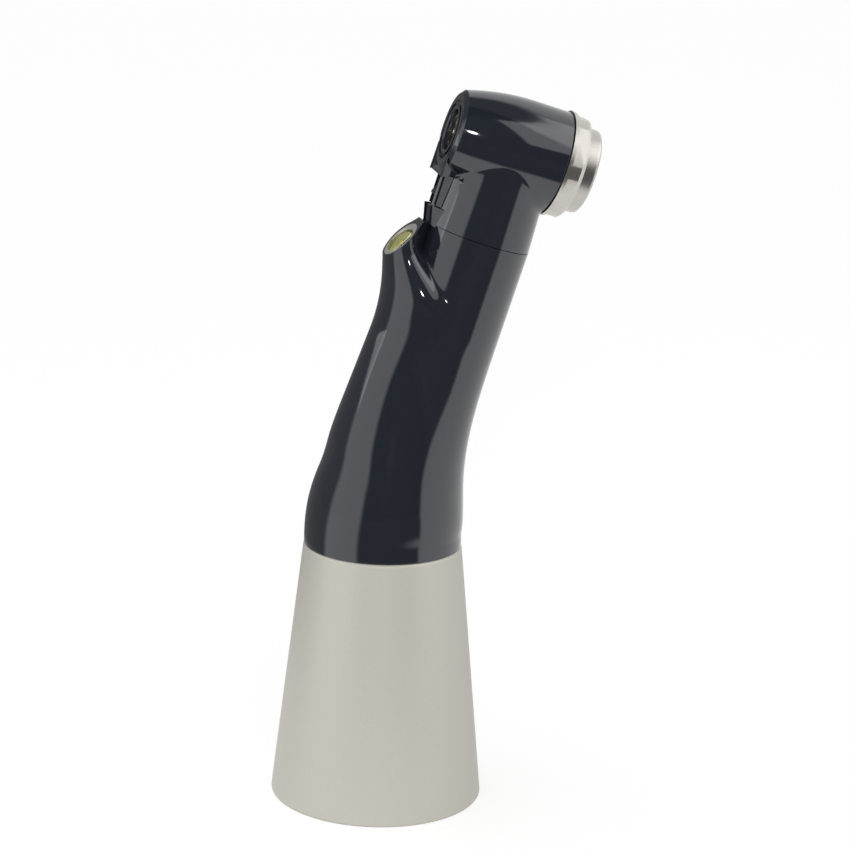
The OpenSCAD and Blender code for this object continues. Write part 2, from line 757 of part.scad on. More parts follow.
module rear_upper_outer() color("#bdbbb7") {
  translate([0, 0, rear_upper_z]) ring_outer(shaft_r + fit, brg_r, brg_w);
}

module rear_upper_inner() color("#bdbbb7") {
  translate([0, 0, rear_upper_z]) ring_inner(shaft_r + fit, brg_r, brg_w);
}

module rear_upper_balls() color("#e6e5e2") {
  translate([0, 0, rear_upper_z]) ring_balls(shaft_r + fit, brg_r, brg_w);
}

module rear_lower_outer() color("#bdbbb7") {
  translate([0, 0, rear_lower_z]) ring_outer(shaft_r + fit, brg_r, brg_w);
}

module rear_lower_inner() color("#bdbbb7") {
  translate([0, 0, rear_lower_z]) ring_inner(shaft_r + fit, brg_r, brg_w);
}

module rear_lower_balls() color("#e6e5e2") {
  translate([0, 0, rear_lower_z]) ring_balls(shaft_r + fit, brg_r, brg_w);
}

module drive_dog() color("#a5a39f") {
  slot = dog_pin_r + run;
  difference() {
    translate([0, 0, dog_z]) cylinder(h = dog_top - dog_z, r = dog_d / 2);
    translate([0, 0, dog_z + dog_floor]) cylinder(h = dog_top, r = shaft_r + run);
    translate([-0.6, -dog_d, dog_z - cut]) cube([1.2, 2 * dog_d, cut + dog_floor - 0.2]);
    translate([-slot, -dog_d, dog_pin_z - slot - dog_stroke])
      cube([2 * slot, 2 * dog_d, 2 * slot + dog_stroke]);
  }
}

module dog_pin() color("#c9c7c2") {
  translate([0, 0, dog_pin_z]) rotate([90, 0, 0])
    cylinder(h = dog_d - 0.3, r = dog_pin_r, center = true, $fn = 32);
}

module dog_spring() color("#d0cec8") {
  wire = 0.22;
  translate([0, 0, dog_top + fit])
    sweep(coil_path(1.45, wire, rear_lower_z - dog_top - 2 * fit, 3, 8), wire / 2, 6);
}

// Light
module lens_bezel() color("#8f8f8f") {
  difference() {
    pod_post(bezel_z, bezel_h, bezel_d, bezel_w);
    pod_post(bezel_z - cut, bezel_h + 2 * cut, bezel_d - 2 * bezel_t, bezel_w - 2 * bezel_t);
    above_window();
  }
}

module lens() color("#e9edf0") {
  window_plate(lens_in, lens_t);
}

module light_chip() color("#e8c93a") {
  aside = (chip_in - chip_t / 2) * tan(window_tilt);
  under_window(chip_in) translate([-aside - chip_w / 2, -chip_w / 2, 0]) cube([chip_w, chip_w, chip_t]);
}

module light_board() color("#e8e8e4") {
  window_plate(board_in, board_t);
}

module light_leads() color("#b02a24") {
  lead_channels(lead_r);
}

// Spray
module spray_nozzle() color("#9fa1a3") {
  at_nozzle() translate([0, 0, -1]) difference() {
    cylinder(h = nozzle_h, r = nozzle_r, $fn = 32);
    translate([0, 0, -cut]) cylinder(h = nozzle_h + 2 * cut, r = jet_r, $fn = 32);
  }
}

module water_tube() color("#c4c4c2") {
  sweep(pipe_path, pipe_r, 8);
}

base_sleeve();
coupling_tube();
latch_ring();
locating_pin();
contact_insulator();
contact_ring();
body_shell();
head_housing();
head_cap();
button_ring();
push_button();
button_spring();
spindle();
head_gear();
collet();
release_pin();
front_shield();
head_front_outer();
head_front_inner();
head_front_balls();
head_rear_outer();
head_rear_inner();
head_rear_balls();
neck_shaft();
neck_pinion();
neck_gear();
neck_spacer();
neck_front_outer();
neck_front_inner();
neck_front_balls();
neck_rear_outer();
neck_rear_inner();
neck_rear_balls();
rear_shaft();
rear_pinion();
rear_spacer();
retaining_nut();
rear_upper_outer();
rear_upper_inner();
rear_upper_balls();
rear_lower_outer();
rear_lower_inner();
rear_lower_balls();
drive_dog();
dog_pin();
dog_spring();
lens_bezel();
lens();
light_chip();
light_board();
light_leads();
spray_nozzle();
water_tube();
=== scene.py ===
import json
import math

import bmesh
import bpy
from mathutils import Matrix, Vector


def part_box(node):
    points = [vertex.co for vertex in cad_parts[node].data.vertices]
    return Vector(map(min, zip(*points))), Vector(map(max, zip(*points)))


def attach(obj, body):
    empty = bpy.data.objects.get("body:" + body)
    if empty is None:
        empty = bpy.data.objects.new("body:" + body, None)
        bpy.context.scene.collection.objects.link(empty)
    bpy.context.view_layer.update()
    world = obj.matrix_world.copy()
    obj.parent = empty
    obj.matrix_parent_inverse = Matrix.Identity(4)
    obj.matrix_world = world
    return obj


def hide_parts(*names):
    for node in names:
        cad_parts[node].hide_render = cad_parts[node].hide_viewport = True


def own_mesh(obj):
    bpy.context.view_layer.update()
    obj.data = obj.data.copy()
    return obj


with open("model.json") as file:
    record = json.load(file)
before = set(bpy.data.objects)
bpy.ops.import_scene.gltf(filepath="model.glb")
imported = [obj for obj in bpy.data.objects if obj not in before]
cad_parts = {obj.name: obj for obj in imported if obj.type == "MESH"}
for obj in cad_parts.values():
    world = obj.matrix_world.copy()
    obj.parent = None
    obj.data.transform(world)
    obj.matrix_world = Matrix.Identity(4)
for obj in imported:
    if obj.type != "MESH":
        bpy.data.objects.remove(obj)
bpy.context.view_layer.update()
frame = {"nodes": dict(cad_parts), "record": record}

# Sizes in millimetres, the same as the part's own; the meshes are in metres
MM = 0.001
LEAN = math.radians(17)
FIT = 0.02
BEND_Z, JOINT_S, HEAD_S = 27.0, 27.2, 36.0
SEAM_S = 27.45
BASE_R, BASE_TOP_R, BASE_H = 10.0, 7.33, 24.5
TUBE_R, SPIGOT_R, SHOULDER_Z = 7.42, 6.32, 15.92
NECK_R, NECK_TOP_R, HUMP_R = 4.8, 4.4, 4.5
POD_X, POD_DEEP, POD_WIDE = 0.92, 1.65, 2.8
WINDOW_Z, WINDOW_TILT, BEZEL_Z = 53.2, math.radians(43), 49.1
HEAD_FRONT, HEAD_BACK, HEAD_R, HEAD_FRONT_R = 5.7, 4.5, 4.75, 3.7
MOUTH_R, CHIN_HALF, CHIN_H, CHIN_LEN = 1.9, 2.55, 3.95, 1.6
CAP_R, CAP_END, CAP_FLAT = 4.9, 6.2, 0.928
WEB_LOW, WEB_HIGH, WEB_HOLE, BEARING_SEAT = 4.6, 4.75, 2.2, 3.12
BUTTON_R, BUTTON_END, PUSHER_R, PUSHER_A = 3.9, 7.58, 1.2, 5.2
BUTTON_IN = BUTTON_END - 0.6
FLANGE_R, FLANGE_LOW, FLANGE_HIGH = 4.2, 5.62, 5.87
SMALL_BORE, CHAMBER_R, SKIRT_R, SKIRT_A = 3.02, 3.4, 3.98, 2.6

UP = Vector((0, 0, 1))
SIDE = Vector((0, 1, 0))
NECK = Vector((math.sin(LEAN), 0, math.cos(LEAN)))
HEAD = Vector((math.cos(LEAN), 0, -math.sin(LEAN)))
BEND = Vector((0, 0, BEND_Z))
HEAD_MID = BEND + HEAD_S * NECK


def mix(a, b, t):
    return a + (b - a) * t


def smooth(x):
    c = max(0.0, min(1.0, x))
    return c * c * (3 - 2 * c)


def soft_min(a, b, k):
    h = max(k - abs(a - b), 0) / k
    return min(a, b) - h * h * k / 4


def at_head(a, y, t):
    """A point from the middle of the head: along its axis, across it and down the neck."""
    return HEAD_MID + a * HEAD + y * SIDE - t * NECK


# Finishes


def finish(name, colour, shade, metallic, rough, spread, grain, relief, stretch=(1, 1, 1), **own):
    """A surface whose colour, gloss and relief vary with a fine grain."""
    material = bpy.data.materials.new(name)
    material.use_nodes = True
    tree = material.node_tree
    shader = tree.nodes["Principled BSDF"]
    shader.inputs["Metallic"].default_value = metallic
    for socket, value in own.items():
        shader.inputs[socket.replace("_", " ")].default_value = value
    place = tree.nodes.new("ShaderNodeTexCoord")
    turn = tree.nodes.new("ShaderNodeMapping")
    turn.inputs["Scale"].default_value = stretch
    noise = tree.nodes.new("ShaderNodeTexNoise")
    noise.inputs["Scale"].default_value = grain
    noise.inputs["Detail"].default_value = 4
    tint = tree.nodes.new("ShaderNodeMix")
    tint.data_type = "RGBA"
    tint.inputs[6].default_value = (*colour, 1)
    tint.inputs[7].default_value = (*shade, 1)
    gloss = tree.nodes.new("ShaderNodeMapRange")
    gloss.inputs["To Min"].default_value = rough - spread
    gloss.inputs["To Max"].default_value = rough + spread
    bump = tree.nodes.new("ShaderNodeBump")
    bump.inputs["Strength"].default_value = relief
    bump.inputs["Distance"].default_value = 0.02 * MM
    link = tree.links.new
    link(place.outputs["Object"], turn.inputs["Vector"])
    link(turn.outputs["Vector"], noise.inputs["Vector"])
    link(noise.outputs["Fac"], tint.inputs["Factor"])
    link(tint.outputs[2], shader.inputs["Base Color"])
    link(noise.outputs["Fac"], gloss.inputs["Value"])
    link(gloss.outputs["Result"], shader.inputs["Roughness"])
    link(noise.outputs["Fac"], bump.inputs["Height"])
    link(bump.outputs["Normal"], shader.inputs["Normal"])
    return material


def steel(name, level, rough, grain=6000, relief=0.06, warm=0.03):
    light = (level * (1 + warm), level, level * (1 - 2 * warm))
    dark = tuple(0.88 * c for c in light)
    return finish(name, light, dark, 1, rough, 0.05, grain, relief)


def plain(name, colour, rough, grain=4000, relief=0.05, **own):
    dark = tuple(0.85 * c for c in colour)
    return finish(name, colour, dark, 0, rough, 0.06, grain, relief, **own)


LACQUER = (0.019, 0.024, 0.033)
finishes = {
    "cone_steel": finish("satin cone steel", (0.72, 0.7, 0.62), (0.64, 0.62, 0.55), 0.3, 0.5, 0.05, 9000, 0.14),
    "socket_steel": steel("turned socket steel", 0.58, 0.3),
    "spring_steel": steel("spring wire", 0.6, 0.28),
    "pin_steel": steel("pin steel", 0.55, 0.25),
    "insulator": plain("cream insulator", (0.62, 0.56, 0.44), 0.5),
    "contact_brass": finish("contact brass", (0.75, 0.52, 0.2), (0.66, 0.44, 0.16), 1, 0.3, 0.05, 6000, 0.05),
    "body_black": finish(
        "gloss black lacquer", LACQUER, (0.016, 0.02, 0.028), 0, 0.06, 0.02, 1500, 0.004, IOR=1.75
    ),
    "cap_steel": steel("satin cap steel", 0.6, 0.34, grain=9000, relief=0.1, warm=0.04),
    "button_steel": steel("satin button steel", 0.54, 0.32, grain=9000, relief=0.1),
    "shaft_steel": steel("ground shaft steel", 0.6, 0.25),
    "gear_bronze": finish("gear bronze", (0.62, 0.4, 0.16), (0.53, 0.33, 0.13), 1, 0.34, 0.05, 6000, 0.06),
    # Black of the bearing shields; also used as painted shade on the spray nozzle
    "shield_black": plain("shield black and painted nozzle shade", (0.03, 0.03, 0.032), 0.4),
    "bearing_steel": steel("bearing steel", 0.62, 0.2),
    "ball_ceramic": plain("ball ceramic", (0.7, 0.69, 0.66), 0.15),
    "spacer_aluminium": steel("spacer aluminium", 0.64, 0.36, warm=0.0),
    "bezel_steel": finish("bezel steel", (0.62, 0.61, 0.58), (0.54, 0.53, 0.5), 0.6, 0.4, 0.05, 6000, 0.06),
    "lens_clear": finish(
        "clear lens", (0.95, 0.95, 0.66), (0.6, 0.6, 0.2), 0, 0.05, 0.02, 1100, 0.01, Transmission_Weight=1.0, IOR=1.25
    ),
    # The chip glows faintly: painted light, standing in for the light that reaches it through the lens
    "chip_yellow": plain(
        "yellow chip with painted glow", (0.78, 0.7, 0.08), 0.45, Emission_Color=(0.8, 0.72, 0.1, 1), Emission_Strength=0.6
    ),
    "board_white": plain("white light board", (0.8, 0.8, 0.77), 0.5),
    "lead_red": plain("red lead sleeve", (0.42, 0.03, 0.02), 0.45),
}
slot_of = {row["node"]: row["material_slot"] for row in frame["record"]["subparts"]}
for name, node in frame["nodes"].items():
    node.data.materials.clear()
    # The spray nozzle takes the black shield finish in place of its own steel: painted shade, so it reads as the dark
    # spray hole
    node.data.materials.append(finishes["shield_black" if name == "spray_nozzle" else slot_of[name]])


# Making pieces


def outward(bm):
    """Merges doubled points and turns the faces of each shell outward."""
    bmesh.ops.remove_doubles(bm, verts=bm.verts, dist=1e-7)
    bmesh.ops.recalc_face_normals(bm, faces=bm.faces)
    left = set(bm.faces)
    while left:
        shell, edge = set(), {left.pop()}
        while edge:
            shell |= edge
            edge = {near for face in edge for e in face.edges for near in e.link_faces} - shell
        left -= shell
        if sum(f.normal.dot(f.calc_center_median()) * f.calc_area() for f in shell) < 0:
            bmesh.ops.reverse_faces(bm, faces=list(shell))


def keep(name, bm, body, nodes, slot, crease=30):
    """Turns a finished bmesh into a piece that rides on a body in place of its CAD nodes."""
    outward(bm)
    mesh = bpy.data.meshes.new(name)
    bm.to_mesh(mesh)
    bm.free()
    piece = bpy.data.objects.new(name, mesh)
    bpy.context.scene.collection.objects.link(piece)
    dress(piece, body, nodes, slot, crease)
    return piece


def dress(piece, body, nodes, slot, crease=30):
    mesh = piece.data
    mesh.materials.clear()
    mesh.materials.append(finishes[slot])
    mesh.shade_smooth()
    mesh.set_sharp_from_angle(angle=math.radians(crease))
    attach(piece, body)
    if nodes:
        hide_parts(*nodes)


def scratch(bm):
    """A bmesh as a plain object, for cutting and joining."""
    outward(bm)
    mesh = bpy.data.meshes.new("scratch")
    bm.to_mesh(mesh)
    bm.free()
    obj = bpy.data.objects.new("scratch", mesh)
    bpy.context.scene.collection.objects.link(obj)
    return obj


def carve(obj, *steps):
    """Cuts tools out of a solid, or joins them to it, and puts the result in its mesh."""
    for operation, tool in steps:
        modifier = obj.modifiers.new(operation, "BOOLEAN")
        modifier.operation = operation
        modifier.solver = "EXACT"
        modifier.use_self = operation == "UNION"
        modifier.object = tool
    graph = bpy.context.evaluated_depsgraph_get()
    mesh = bpy.data.meshes.new_from_object(obj.evaluated_get(graph))
    obj.modifiers.clear()
    obj.data = mesh
    for _, tool in steps:
        if tool.name in bpy.data.objects:
            bpy.data.objects.remove(tool)
    return obj


def to_bmesh(obj):
    bm = bmesh.new()
    bm.from_mesh(obj.data)
    bpy.data.objects.remove(obj)
    return bm


def turned(bm, profile, origin, axis, steps=128):
    """Spins a closed profile of (radius, height) points round an axis."""
    out = SIDE if abs(axis.dot(SIDE)) < 0.9 else UP
    points = [bm.verts.new((origin + out * r + axis * a) * MM) for r, a in profile]
    edges = [bm.edges.new(pair) for pair in zip(points, points[1:] + points[:1])]
    bmesh.ops.spin(
        bm, geom=points + edges, cent=origin * MM, axis=axis, angle=2 * math.pi, steps=steps, use_merge=True
    )


def rod(bm, radius, low, high, origin, axis, steps=96):
    turned(bm, [(0, low), (radius, low), (radius, high), (0, high)], origin, axis, steps)


def soft(profile, radius, parts=4):
    """A profile whose marked corners, given as (r, h, True), are rounded."""
    out = []
    count = len(profile)
    for i, corner in enumerate(profile):
        if len(corner) < 3:
            out.append(corner)
            continue
        here = Vector(corner[:2])
        back = Vector(profile[i - 1][:2]) - here
        ahead = Vector(profile[(i + 1) % count][:2]) - here
        reach = min(radius, 0.45 * back.length, 0.45 * ahead.length)
        start, end = here + back.normalized() * reach, here + ahead.normalized() * reach
        for k in range(parts + 1):
            u = k / parts
            point = start * (1 - u) ** 2 + here * 2 * u * (1 - u) + end * u * u
            out.append((point.x, point.y))
    return out


def drawn(bm, rings):
    """Draws a tube through rings of points, all with the same count, and returns its end edges."""
    place = bm.verts.layers.int.new("place")
    ring = bmesh.ops.create_circle(bm, cap_ends=False, segments=len(rings[0]), radius=MM)["verts"]
    edges = list(dict.fromkeys(edge for vert in ring for edge in vert.link_edges))
    for k, vert in enumerate(ring):
        vert[place] = k
        vert.co = rings[0][k] * MM
    first = edges
    for points in rings[1:]:
        geom = bmesh.ops.extrude_edge_only(bm, edges=edges)["geom"]
        edges = [g for g in geom if isinstance(g, bmesh.types.BMEdge)]
        ring = [g for g in geom if isinstance(g, bmesh.types.BMVert)]
        for vert in ring:
            vert.co = points[vert[place]] * MM
    return first, edges


def block(bm, low, high, corner, round_by=0.12):
    """A box with soft edges, between two corners given to the corner function."""
    cube = bmesh.ops.create_cube(bm, size=1)["verts"]
    for vert in cube:
        share = vert.co + Vector((0.5, 0.5, 0.5))
        vert.co = corner(*[mix(low[i], high[i], share[i]) for i in range(3)]) * MM
    edges = list(dict.fromkeys(edge for vert in cube for edge in vert.link_edges))
    bmesh.ops.bevel(
        bm, geom=edges, offset=round_by * MM, affect="EDGES", segments=3, profile=0.5, material=-1
    )


LUG_ROOT, LUG_EDGE = -3.9, 0.22


def wedge(bm, front_half, root_half, front_high, high, front_low, low):
    """A lug on the front of the neck: sides that spread to its root, and its front at two heights."""

    def corner(a, v, t):
        front = mix(front_high, front_low, (t - high) / (low - high))
        return at_head(mix(front, LUG_ROOT, a), v * mix(front_half, root_half, a), t)

    block(bm, (0, -1, high), (1, 1, low), corner, LUG_EDGE)


# Steel cone

bm = bmesh.new()
turned(
    bm,
    soft(
        [
            (TUBE_R, 0), (BASE_R - 0.2, 0, True), (BASE_R - 0.085, 0.2, True), (BASE_TOP_R + 0.02, BASE_H, True),
            (SPIGOT_R, BASE_H), (SPIGOT_R, SHOULDER_Z - 0.9), (TUBE_R, SHOULDER_Z - 0.9),
        ],
        0.35,
    ),
    Vector(), UP, steps=192,
)
keep("steel_cone", bm, "housing", ["base_sleeve"], "cone_steel")

# Black body: rings up the bent axis, each a circle blended with an oval hump on the working side

AROUND, STATIONS = 240, 120
BEND_LEN = 2 * (BEND_Z - BASE_H)
WAIST, WAIST_S, WAIST_LEN = 0.5, 2.2, 3
POD_S = 20.5
SEAM_Z = BEND_Z + SEAM_S * math.cos(LEAN)


def bend_share(z):
    return (z - BASE_H) / BEND_LEN


def axis_x(z):
    u = bend_share(z)
    return math.tan(LEAN) * (BEND_LEN * (u**3 - u**4 / 2) if u < 1 else z - BEND_Z)


def along_neck(z):
    return (z - BEND_Z) / math.cos(LEAN)


def section(z):
    """Main radius, and depth, width, centre and blend of the hump, at a height of the body's axis."""
    s = along_neck(z)
    main = mix(NECK_R, BASE_TOP_R, math.exp(-(((z - BASE_H) / 8.7) ** 2.2)))
    back_line = BASE_TOP_R - 0.05 * max(0, s - 6) - WAIST * math.exp(-(((s - WAIST_S) / WAIST_LEN) ** 2))
    pod_line = s * math.tan(LEAN) + (POD_DEEP - POD_X) / math.cos(LEAN)
    reach = -soft_min(-back_line, -pod_line, 1.0)
    hump = mix(BASE_TOP_R - 0.2, HUMP_R, smooth((s + 2.6) / 18))
    wide = mix(hump, POD_WIDE, smooth((s - POD_S) / 4.5))
    deep = mix(hump, POD_DEEP / math.cos(LEAN), smooth((s - POD_S) / 5))
    blend = 0.05 + 1.6 * smooth(bend_share(z)) - 1.45 * smooth((s - 16.5) / 7.5)
    return main, deep, wide, reach - deep, blend


def oval_gap(x, y, a, b):
    """Distance from an oval, good near its edge."""
    k = math.hypot(x / a, y / b)
    return k * (k - 1) / max(1e-9, math.hypot(x / a / a, y / b / b))


def body_ring(z):
    """Ring of the skin: rays from between the two outlines, each to the last place inside."""
    main, deep, wide, centre, blend = section(z)
    tilt = math.atan(math.tan(LEAN) * smooth(bend_share(z)))
    start = mix(min(main * 0.75, centre * 0.6), main - 0.3, smooth((along_neck(z) - 17) / 6))

    def inside(d, turn):
        x, y = d * math.cos(turn) - start, d * math.sin(turn)
        return soft_min(math.hypot(x, y) - main, oval_gap(x + centre, y, deep, wide), blend) < 0

    ring = []
    step = 0.3
    for k in range(AROUND):
        turn = 2 * math.pi * k / AROUND
        low = 12.0
        while low > step and not inside(low, turn):
            low -= step
        high = low + step
        for _ in range(16):
            d = (low + high) / 2
            low, high = (d, high) if inside(d, turn) else (low, d)
        x, y = low * math.cos(turn) - start, low * math.sin(turn)
        ring.append(Vector((axis_x(z) + x * math.cos(tilt), y, z - x * math.sin(tilt))))
    return ring


def flat_ring(radius, z):
    step = 2 * math.pi / AROUND
    return [Vector((radius * math.cos(k * step), radius * math.sin(k * step), z)) for k in range(AROUND)]


POD_WALL, POD_AROUND = 0.12, 96
EYE_X, EYE_DEEP, EYE_WIDE = POD_X - 0.08, POD_DEEP - 0.08, POD_WIDE - 0.2


def oval_ring(inset, z=None, depth=0.0):
    """Ring on the pod, inset from its outside: level at a height, or at a depth under the window."""
    ring = []
    for k in range(POD_AROUND):
        turn = 2 * math.pi * k / POD_AROUND
        x, y = EYE_X + (EYE_DEEP - inset) * math.cos(turn), (EYE_WIDE - inset) * math.sin(turn)
        ring.append(Vector((x, y, WINDOW_Z + (x - POD_X) * math.tan(WINDOW_TILT) - depth if z is None else z)))
    return ring


def post(bm, rings):
    """A closed post through rings of points."""
    for edges in drawn(bm, rings):
        bmesh.ops.edgeloop_fill(bm, edges=edges)


bm = bmesh.new()
rings = [flat_ring(SPIGOT_R - FIT, SHOULDER_Z), flat_ring(SPIGOT_R - FIT, BASE_H)]
rings += [body_ring(mix(BASE_H, SEAM_Z, i / STATIONS)) for i in range(STATIONS + 1)]
post(bm, rings)
window = Vector((POD_X, 0, WINDOW_Z))
window_out = Vector((-math.sin(WINDOW_TILT), 0, math.cos(WINDOW_TILT)))
bmesh.ops.bisect_plane(
    bm, geom=bm.verts[:] + bm.edges[:] + bm.faces[:], dist=1e-7,
    plane_co=window * MM, plane_no=window_out, clear_outer=True,
)
bmesh.ops.edgeloop_fill(bm, edges=[e for e in bm.edges if e.is_boundary])
body = scratch(bm)

COLLAR_R, COLLAR_H = 3.7, 2
REAR_BORE, REAR_STEP_Z = 3.42, 20.52
STEM_BORE, STEM_Z = 1.3, 34.25
END_BORE, END_Z, END_TOP = 1.85, 36.05, 40.2
collar = bmesh.new()
rod(collar, COLLAR_R, JOINT_S - 0.5, JOINT_S + COLLAR_H, BEND, NECK)
rear_bore = bmesh.new()
turned(
    rear_bore,
    [
        (0, SHOULDER_Z - 1), (REAR_BORE, SHOULDER_Z - 1), (REAR_BORE, REAR_STEP_Z), (SMALL_BORE, REAR_STEP_Z),
        (SMALL_BORE, STEM_Z), (STEM_BORE, STEM_Z), (STEM_BORE, END_Z), (END_BORE, END_Z), (END_BORE, END_TOP),
        (0, END_TOP),
    ],
    Vector(), UP, 96,
)
neck_bore = bmesh.new()
rod(neck_bore, SMALL_BORE, 9.7, JOINT_S + 4, BEND, NECK)
pod_bore = bmesh.new()
post(pod_bore, [oval_ring(POD_WALL, BEZEL_Z - FIT), oval_ring(POD_WALL, WINDOW_Z + 4)])
carve(
    body,
    ("UNION", scratch(collar)),
    ("DIFFERENCE", scratch(rear_bore)),
    ("DIFFERENCE", scratch(neck_bore)),
    ("DIFFERENCE", scratch(pod_bore)),
)
body.name = "black_body"
dress(body, "housing", ["body_shell"], "body_black", 35)

# Window: a metal rim that seats in the pod, and a slightly domed lens in it

RIM = 0.36
bm = bmesh.new()
outer, inner = POD_WALL + FIT, POD_WALL + RIM
drawn(
    bm,
    [
        oval_ring(outer, BEZEL_Z), oval_ring(outer, None, 0.08), oval_ring(outer + 0.03, None, 0.02),
        oval_ring(outer + 0.08), oval_ring(inner - 0.08), oval_ring(inner - 0.02, None, 0.04),
        oval_ring(inner, None, 0.12), oval_ring(inner, BEZEL_Z), oval_ring(outer, BEZEL_Z),
    ],
)
keep("window_rim", bm, "housing", ["lens_bezel"], "bezel_steel", 40)
bm = bmesh.new()
dome = [(0.02, 0.75), (0.02, 0.2), (0.1, 0.15), (0.3, 0.09), (0.6, 0.05), (0.9, 0.03)]
post(bm, [oval_ring(inner + inset, None, depth) for inset, depth in dome])
keep("window_lens", bm, "housing", ["lens"], "lens_clear", 30)

# Black head: a turned barrel with a chin, and a neck that runs into it with a fillet


def barrel_r(a):
    if a > 1:
        return HEAD_R
    return HEAD_R - (HEAD_R - HEAD_FRONT_R + 0.015) * ((1 - a) / (1 + HEAD_FRONT)) ** 2


front = -HEAD_FRONT
curve = [(barrel_r(mix(front + 0.32, 1, i / 24)), mix(front + 0.32, 1, i / 24)) for i in range(25)]
bm = bmesh.new()
turned(
    bm,
    soft(
        [(HEAD_FRONT_R - 0.32, front, True), *curve, (HEAD_R, HEAD_BACK, True), (0, HEAD_BACK), (0, front)],
        0.12,
    ),
    HEAD_MID, HEAD, 192,
)
barrel = scratch(bm)
chin = bmesh.new()


def chin_corner(a, y, t):
    back = (a - front) / CHIN_LEN
    return at_head(a, y * mix(CHIN_HALF, 1.9, back), t * mix(CHIN_H, 3.4, back))


block(chin, (front + 0.06, -1, 0), (front + CHIN_LEN, 1, 1), chin_corner, 0.15)
FRONT_WALL, CHAMBER_FRONT, CHAMBER_BACK = 0.9, -2.3, 2.5
cavity = bmesh.new()
turned(
    cavity,
    [
        (0, front + FRONT_WALL), (BEARING_SEAT, front + FRONT_WALL), (BEARING_SEAT, CHAMBER_FRONT),
        (CHAMBER_R, CHAMBER_FRONT), (CHAMBER_R, CHAMBER_BACK), (SKIRT_R + FIT, CHAMBER_BACK),
        (SKIRT_R + FIT, HEAD_BACK + 1), (0, HEAD_BACK + 1),
    ],
    HEAD_MID, HEAD, 192,
)
mouth = bmesh.new()
turned(
    mouth,
    [(0, front - 1), (MOUTH_R + 0.3, front - 0.2), (MOUTH_R, front + 0.1), (MOUTH_R, front + 2), (0, front + 2)],
    HEAD_MID, HEAD, 96,
)
GROOVE_IN, GROOVE_OUT, GROOVE_DEEP = MOUTH_R + 0.4, MOUTH_R + 0.85, 0.3
groove = bmesh.new()
turned(
    groove,
    [
        (GROOVE_IN, front - 1), (GROOVE_OUT, front - 1),
        (GROOVE_OUT, front + GROOVE_DEEP), (GROOVE_IN, front + GROOVE_DEEP),
    ],
    HEAD_MID, HEAD, 96,
)
opening = bmesh.new()
rod(opening, SMALL_BORE, HEAD_S - 7, HEAD_S, BEND, NECK)
carve(
    barrel,
    ("UNION", scratch(chin)),
    ("DIFFERENCE", scratch(cavity)),
    ("DIFFERENCE", scratch(mouth)),
    ("DIFFERENCE", scratch(groove)),
    ("DIFFERENCE", scratch(opening)),
)


def neck_radius(t):
    return mix(NECK_TOP_R, NECK_R, (t - 0.5) / (HEAD_S - JOINT_S - 0.5))


def fillet_r(turn):
    """Fillet between neck and barrel: widest at the sides, small under the cap and the chin."""
    return 0.2 + 1.1 * abs(math.sin(turn)) ** 1.5


def neck_ends(turn):
    """Middle of the fillet, and where it leaves the neck and reaches the barrel."""
    r = fillet_r(turn)
    t = 3.0
    for _ in range(30):
        d = neck_radius(t) + r
        a, y = d * math.cos(turn), d * math.sin(turn)
        t = math.sqrt(max(0.04, (barrel_r(a) + r) ** 2 - y * y))
    middle = Vector((a, y, t))
    leave = -Vector((math.cos(turn), math.sin(turn), 0))
    reach = -Vector((0, y, t)).normalized()
    return middle, leave, reach, r


NECK_AROUND, ARC, STRAIGHT = 192, 12, 10
ends = [neck_ends(2 * math.pi * k / NECK_AROUND) for k in range(NECK_AROUND)]
LOW_T = HEAD_S - SEAM_S - 0.06
rings = []
for i in range(STRAIGHT):
    ring = []
    for k, (middle, leave, reach, r) in enumerate(ends):
        t = mix(LOW_T, middle.z, i / STRAIGHT)
        turn = 2 * math.pi * k / NECK_AROUND
        d = neck_radius(t)
        ring.append(at_head(d * math.cos(turn), d * math.sin(turn), t))
    rings.append(ring)
for i in range(ARC + 1):
    ring = []
    for middle, leave, reach, r in ends:
        point = middle + r * leave.slerp(reach, i / ARC)
        ring.append(at_head(*point))
    rings.append(ring)
ring = []
for middle, leave, reach, r in ends:
    point = middle + (r + 0.5) * reach
    ring.append(at_head(*point))
rings.append(ring)
bm = bmesh.new()
first, last = drawn(bm, rings)
bmesh.ops.edgeloop_fill(bm, edges=first)
middle = at_head(0, 0, 3.0) * MM
geom = bmesh.ops.extrude_edge_only(bm, edges=last)["geom"]
bmesh.ops.pointmerge(bm, verts=[g for g in geom if isinstance(g, bmesh.types.BMVert)], merge_co=middle)
stub = scratch(bm)
relief = bmesh.new()
rod(relief, CAP_R + 0.12, HEAD_BACK, HEAD_BACK + 4, HEAD_MID, HEAD)
COLLAR_SEAT, COLLAR_TOP = COLLAR_R + FIT, JOINT_S + COLLAR_H + 0.1
stub_bore = bmesh.new()
turned(
    stub_bore,
    [
        (0, JOINT_S - 1), (COLLAR_SEAT, JOINT_S - 1), (COLLAR_SEAT, COLLAR_TOP),
        (SMALL_BORE, COLLAR_TOP), (SMALL_BORE, HEAD_S), (0, HEAD_S),
    ],
    BEND, NECK, 96,
)
carve(stub, ("DIFFERENCE", scratch(relief)), ("DIFFERENCE", scratch(stub_bore)))

bm = to_bmesh(barrel)
bm.from_mesh(stub.data)
bpy.data.objects.remove(stub)
wedge(bm, front_half=1.0, root_half=2.4, front_high=-5.42, high=LOW_T - 1.3, front_low=-5.1, low=LOW_T)
wedge(bm, front_half=0.8, root_half=1.85, front_high=-5.15, high=3.6, front_low=-5.12, low=LOW_T - 1.85)
keep("black_head", bm, "housing", ["head_housing"], "body_black", 35)

# Cap ring with wrench flats, and the push button

